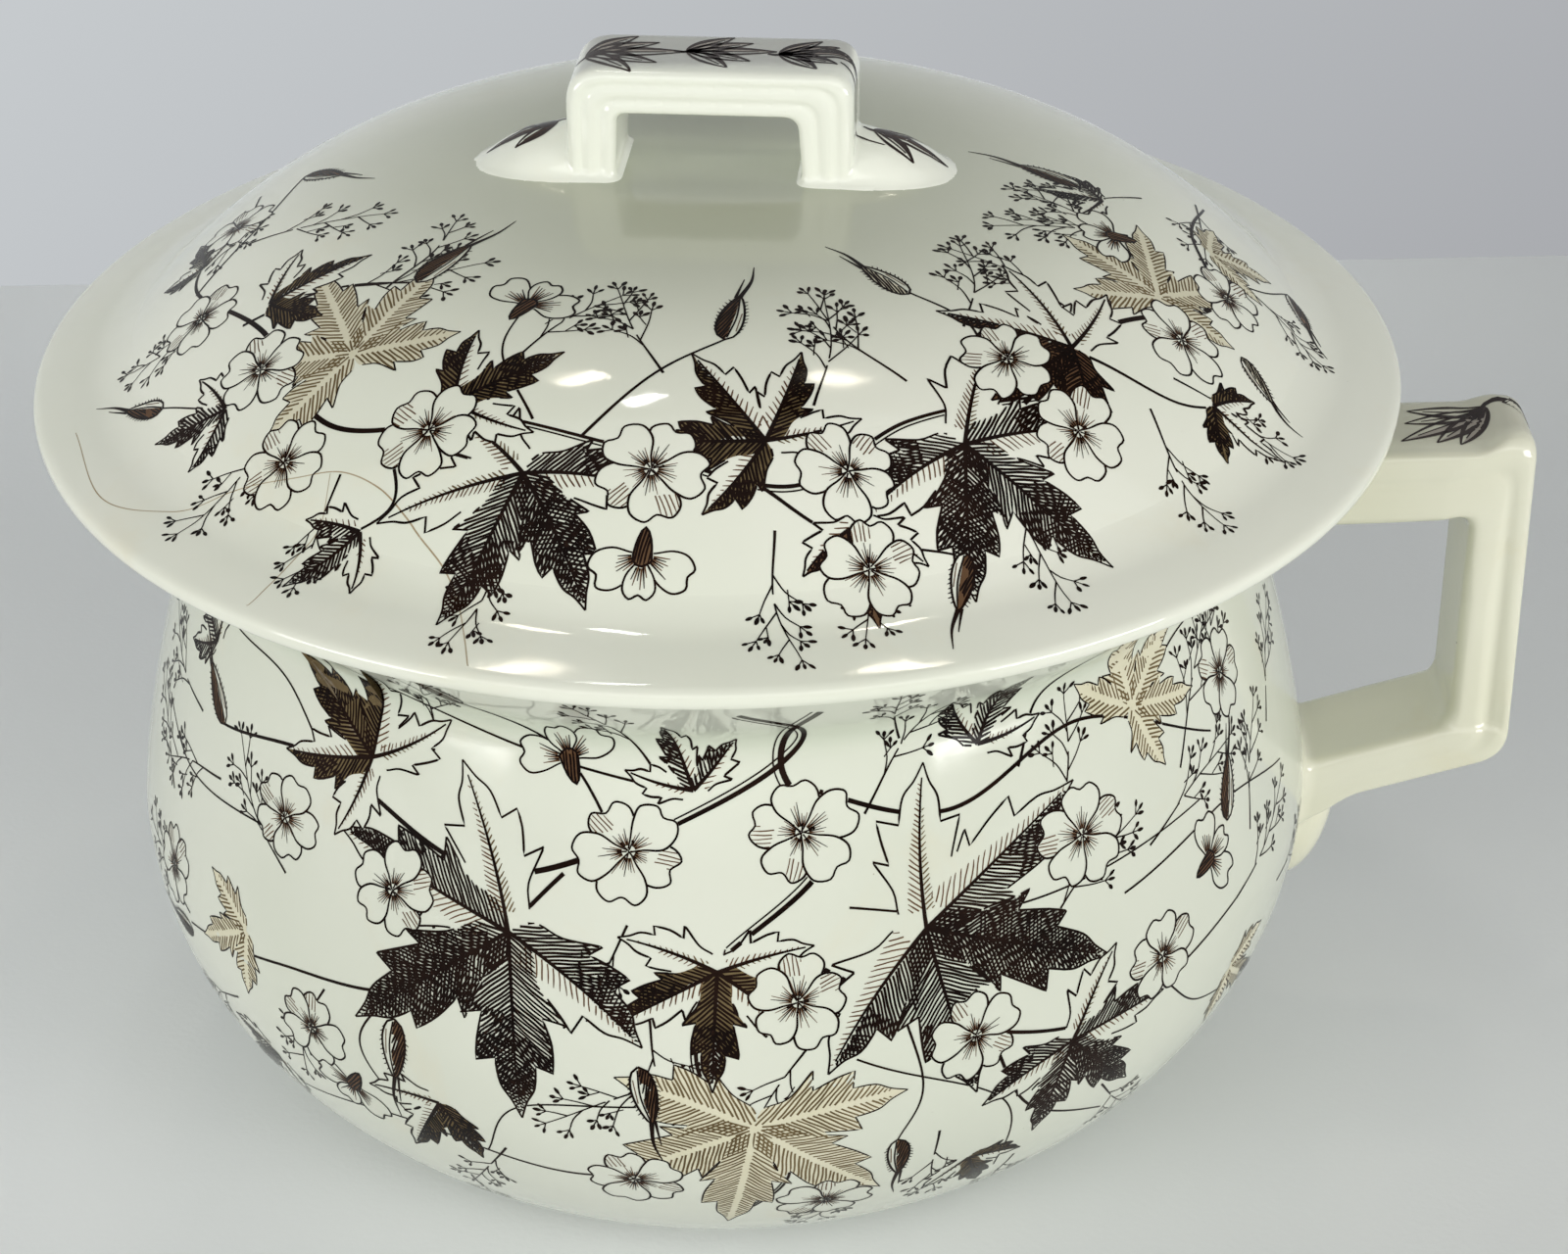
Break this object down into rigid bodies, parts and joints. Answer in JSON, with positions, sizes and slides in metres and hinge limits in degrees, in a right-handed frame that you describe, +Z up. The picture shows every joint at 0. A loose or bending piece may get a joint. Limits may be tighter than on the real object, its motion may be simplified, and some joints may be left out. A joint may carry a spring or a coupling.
{
  "type": "lidded chamber pot",
  "caption": "Round-bellied glazed ceramic chamber pot with a squared side handle and a loose domed cover with a bridge handle.",
  "frame": {"origin": "middle of the object's footprint on the surface it stands on, with the pot's own axis 13.5 mm towards -X of it", "axes": "+Z up along the pot's axis, +X towards the side handle, +Y to the left of the side handle"},
  "size_m": [0.277, 0.25, 0.2065],
  "materials": {
    "pot_glaze": "glossy clear glaze over a cream white body, with brown transfer printed leaves and flowers",
    "pot_handle_glaze": "glossy cream glaze with grey-brown painted leaf sprays",
    "cover_glaze": "glossy clear glaze over a cream white body, with brown transfer printed leaves and flowers and hairline cracks",
    "cover_handle_glaze": "glossy near white glaze with grey-brown painted leaf sprays"
  },
  "bodies": {
    "pot": {"pot_body": "pot_glaze", "pot_handle": "pot_handle_glaze"},
    "cover": {"cover": "cover_glaze", "cover_handle": "cover_handle_glaze"}
  },
  "joints": [
    {"name": "cover_lift", "type": "slide", "parent": "pot", "child": "cover", "axis": [0, 0, 1], "range_m": [0, 0.15]}
  ]
}
